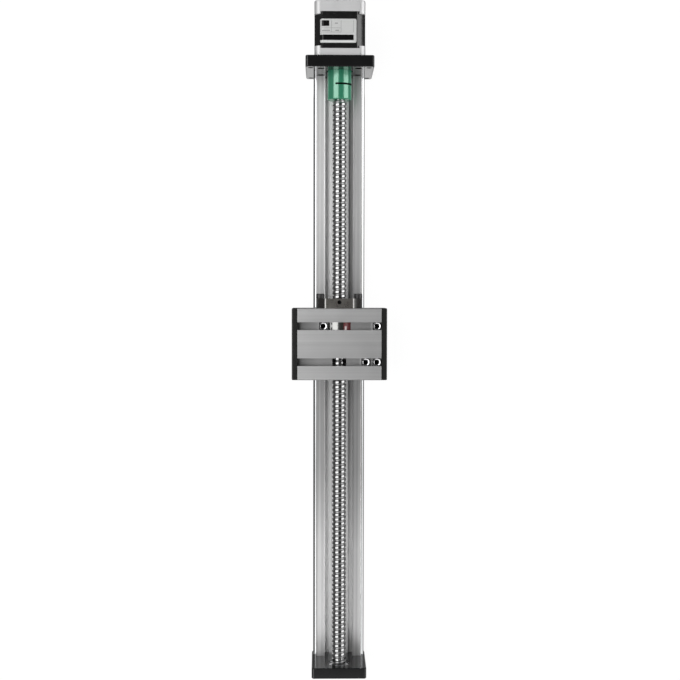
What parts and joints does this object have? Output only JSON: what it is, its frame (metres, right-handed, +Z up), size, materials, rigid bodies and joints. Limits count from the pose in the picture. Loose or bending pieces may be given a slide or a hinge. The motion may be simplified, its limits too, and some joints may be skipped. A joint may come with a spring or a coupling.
{
  "type": "ball screw linear module",
  "caption": "Linear actuator: a stepper motor turns a ball screw that drives a T-slot carriage on rollers along a low dual-shaft rail.",
  "frame": {"origin": "middle of the rail's underside, on the plane that the module is bolted down on", "axes": "+Y along the rail and the screw towards the motor, +Z up out of the carriage's slotted face, +X across the rail to the right as seen with the motor away from the viewer"},
  "size_m": [0.0794, 0.5635, 0.06],
  "materials": {
    "rail_aluminium": "extruded, satin clear anodised, fine die lines along the length",
    "black_anodised": "black anodised aluminium, satin with a gloss at grazing angles",
    "shaft_steel": "hard chromed, polished",
    "screw_steel": "ground bearing steel",
    "coupling_green": "green anodised, satin",
    "table_aluminium": "extruded, grey satin anodised, fine lines along the slots",
    "black_plastic": "moulded, fine grain",
    "nut_steel": "ground and lightly oiled bearing steel",
    "red_plastic": "moulded, glossy",
    "black_steel": "black oxide fastener steel",
    "zinc_steel": "zinc plated steel",
    "bearing_steel": "ground bearing steel",
    "motor_aluminium": "die cast and faced, satin",
    "motor_black": "black enamelled laminations",
    "copper_wire": "enamelled copper winding",
    "magnet_dark": "sintered magnet",
    "white_plastic": "natural nylon connector housing",
    "pin_metal": "tinned contact",
    "seal_rubber": "moulded seal"
  },
  "bodies": {
    "rail_assembly": {"rail_profile": "rail_aluminium", "rail_shaft_left": "shaft_steel", "rail_shaft_right": "shaft_steel", "motor_plate": "black_anodised", "motor_plate_screws": "black_steel", "end_plate": "black_anodised", "end_plate_screws": "black_steel", "tail_bearing_outer_ring": "bearing_steel", "tail_bearing_shields": "zinc_steel", "bearing_circlip": "black_steel", "motor_front_cap": "motor_aluminium", "motor_stator": "motor_black", "motor_rear_cap": "motor_aluminium", "motor_coils": "copper_wire", "motor_bearing_outer_rings": "bearing_steel", "motor_mount_screws": "black_steel", "motor_case_screws": "zinc_steel", "motor_connector": "white_plastic", "motor_connector_pins": "pin_metal"},
    "carriage": {"carriage_table": "table_aluminium", "table_cap_left": "black_plastic", "table_cap_right": "black_plastic", "ball_nut": "nut_steel", "ball_return_cover": "red_plastic", "nut_wipers": "seal_rubber", "nut_flange_screws": "black_steel", "roller_axles_fixed": "zinc_steel", "roller_axles_eccentric": "zinc_steel", "roller_lock_nuts": "zinc_steel", "roller_inner_rings": "bearing_steel"},
    "drive_screw": {"ball_screw": "screw_steel", "shaft_coupling": "coupling_green", "coupling_grub_screws": "black_steel", "tail_bearing_inner_ring": "bearing_steel", "screw_circlip": "black_steel", "motor_shaft": "shaft_steel", "rotor_front_cup": "motor_black", "rotor_rear_cup": "motor_black", "rotor_magnet": "magnet_dark", "motor_bearing_inner_rings": "bearing_steel"},
    "roller_rear_left": {"roller_rear_left": "bearing_steel", "roller_rear_left_seals": "seal_rubber"},
    "roller_front_left": {"roller_front_left": "bearing_steel", "roller_front_left_seals": "seal_rubber"},
    "roller_rear_right": {"roller_rear_right": "bearing_steel", "roller_rear_right_seals": "seal_rubber"},
    "roller_front_right": {"roller_front_right": "bearing_steel", "roller_front_right_seals": "seal_rubber"},
    "slot_nut_rear_left": {"slot_nut_rear_left": "zinc_steel"},
    "slot_nut_rear_right": {"slot_nut_rear_right": "zinc_steel"},
    "slot_nut_front_inner": {"slot_nut_front_inner": "zinc_steel"},
    "slot_nut_front_outer": {"slot_nut_front_outer": "zinc_steel"}
  },
  "joints": [
    {"name": "carriage_slide", "type": "slide", "parent": "rail_assembly", "child": "carriage", "axis": [0, 1, 0], "range_m": [-0.24, 0.16]},
    {"name": "screw_spin", "type": "hinge", "parent": "rail_assembly", "child": "drive_screw", "pos_m": [0, 0, 0.036], "axis": [0, 1, 0], "range_deg": [-14401, 21601]},
    {"name": "roller_rear_left_spin", "type": "hinge", "parent": "carriage", "child": "roller_rear_left", "pos_m": [-0.0295, 0.0425, 0.011], "axis": [0, 0, 1], "range_deg": [-1223.3, 1834.5]},
    {"name": "roller_front_left_spin", "type": "hinge", "parent": "carriage", "child": "roller_front_left", "pos_m": [-0.0295, 0.0025, 0.011], "axis": [0, 0, 1], "range_deg": [-1223.3, 1834.5]},
    {"name": "roller_rear_right_spin", "type": "hinge", "parent": "carriage", "child": "roller_rear_right", "pos_m": [0.0295, 0.0425, 0.011], "axis": [0, 0, 1], "range_deg": [-1834.5, 1223.3]},
    {"name": "roller_front_right_spin", "type": "hinge", "parent": "carriage", "child": "roller_front_right", "pos_m": [0.0295, 0.0025, 0.011], "axis": [0, 0, 1], "range_deg": [-1834.5, 1223.3]},
    {"name": "slot_nut_rear_left_slide", "type": "slide", "parent": "carriage", "child": "slot_nut_rear_left", "axis": [1, 0, 0], "range_m": [-0.0176, 0]},
    {"name": "slot_nut_rear_right_slide", "type": "slide", "parent": "carriage", "child": "slot_nut_rear_right", "axis": [1, 0, 0], "range_m": [-0.0176, 0]},
    {"name": "slot_nut_front_inner_slide", "type": "slide", "parent": "carriage", "child": "slot_nut_front_inner", "axis": [1, 0, 0], "range_m": [-0.0122, 0]},
    {"name": "slot_nut_front_outer_slide", "type": "slide", "parent": "carriage", "child": "slot_nut_front_outer", "axis": [1, 0, 0], "range_m": [-0.002, 0]}
  ],
  "couplings": [
    {"joint": "screw_spin", "follows": "carriage_slide", "rad_per_m": -1570.8},
    {"joint": "roller_rear_left_spin", "follows": "carriage_slide", "rad_per_m": -133.33},
    {"joint": "roller_front_left_spin", "follows": "carriage_slide", "rad_per_m": -133.33},
    {"joint": "roller_rear_right_spin", "follows": "carriage_slide", "rad_per_m": 133.33},
    {"joint": "roller_front_right_spin", "follows": "carriage_slide", "rad_per_m": 133.33}
  ]
}
